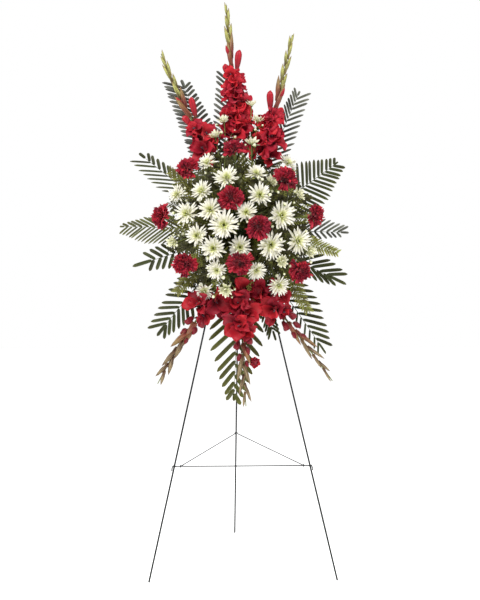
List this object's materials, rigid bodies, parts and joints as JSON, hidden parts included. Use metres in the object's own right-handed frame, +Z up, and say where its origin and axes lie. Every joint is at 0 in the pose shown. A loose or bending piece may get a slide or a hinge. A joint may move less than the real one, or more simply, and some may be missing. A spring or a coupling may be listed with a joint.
{
  "type": "standing funeral spray",
  "caption": "Tall flower spray of red gladioli, carnations and white daisy heads with palm fronds, in a foam cage on a folding wire tripod easel.",
  "frame": {"origin": "on the floor under the middle of the whole box", "axes": "+Z up, -Y towards the viewer the flowers face, +X to that viewer's right"},
  "size_m": [0.6792, 0.6956, 1.6967],
  "materials": {
    "wire": "dark green enamel, satin",
    "cage": "moulded, satin",
    "foam": "matt, wet foam",
    "palm": "leathery leaf, satin",
    "olive_palm": "leathery leaf, satin",
    "fern": "thin leaf, satin",
    "leaf": "leaf, satin",
    "spike": "bract and bud, satin",
    "scarlet_petal": "petal, soft sheen",
    "crimson_petal": "petal, soft sheen",
    "white_petal": "petal, soft sheen"
  },
  "bodies": {
    "front_frame": {"easel_left_leg": "wire", "easel_right_leg": "wire", "apex_pin": "wire", "cross_wire": "wire", "foam_cage": "cage", "cage_tie": "wire", "foam_block": "foam", "palm_frond_01": "palm", "palm_frond_02": "palm", "palm_frond_03": "palm", "palm_frond_04": "palm", "palm_frond_05": "palm", "palm_frond_06": "olive_palm", "palm_frond_07": "palm", "palm_frond_08": "palm", "palm_frond_09": "palm", "palm_frond_10": "palm", "palm_frond_11": "palm", "palm_frond_12": "olive_palm", "palm_frond_13": "palm", "fern_01": "fern", "fern_02": "fern", "fern_03": "fern", "fern_04": "fern", "leaf_stem_01": "leaf", "leaf_stem_02": "leaf", "leaf_stem_03": "leaf", "gladiolus_01_spike": "spike", "gladiolus_01_florets": "scarlet_petal", "gladiolus_02_spike": "spike", "gladiolus_02_florets": "scarlet_petal", "gladiolus_03_spike": "spike", "gladiolus_03_florets": "scarlet_petal", "gladiolus_04_spike": "spike", "gladiolus_04_florets": "scarlet_petal", "gladiolus_05_spike": "spike", "gladiolus_05_florets": "scarlet_petal", "gladiolus_06_spike": "spike", "gladiolus_06_florets": "scarlet_petal", "carnation_01": "crimson_petal", "carnation_02": "crimson_petal", "carnation_03": "crimson_petal", "carnation_04": "crimson_petal", "carnation_05": "crimson_petal", "carnation_06": "crimson_petal", "carnation_07": "crimson_petal", "carnation_08": "crimson_petal", "carnation_09": "crimson_petal", "carnation_10": "crimson_petal", "mum_spray_01": "white_petal", "mum_spray_02": "white_petal", "mum_spray_03": "white_petal", "mum_spray_04": "white_petal", "mum_spray_05": "white_petal", "mum_spray_06": "white_petal", "mum_spray_07": "white_petal"},
    "rear_leg": {"easel_rear_leg": "wire"},
    "stays": {"stay_left": "wire", "stay_right": "wire", "stay_hook": "wire"}
  },
  "joints": [
    {"name": "rear_leg_fold", "type": "hinge", "parent": "front_frame", "child": "rear_leg", "pos_m": [0.0175, -0.03487, 1.16], "axis": [1, 0, 0], "range_deg": [-26, 0]},
    {"name": "stay_fold", "type": "hinge", "parent": "front_frame", "child": "stays", "pos_m": [0.0175, -0.21719, 0.314], "axis": [1, 0, 0], "range_deg": [0, 62.6]}
  ],
  "couplings": [
    {"joint": "stay_fold", "follows": "rear_leg_fold", "ratio": -2.404}
  ]
}
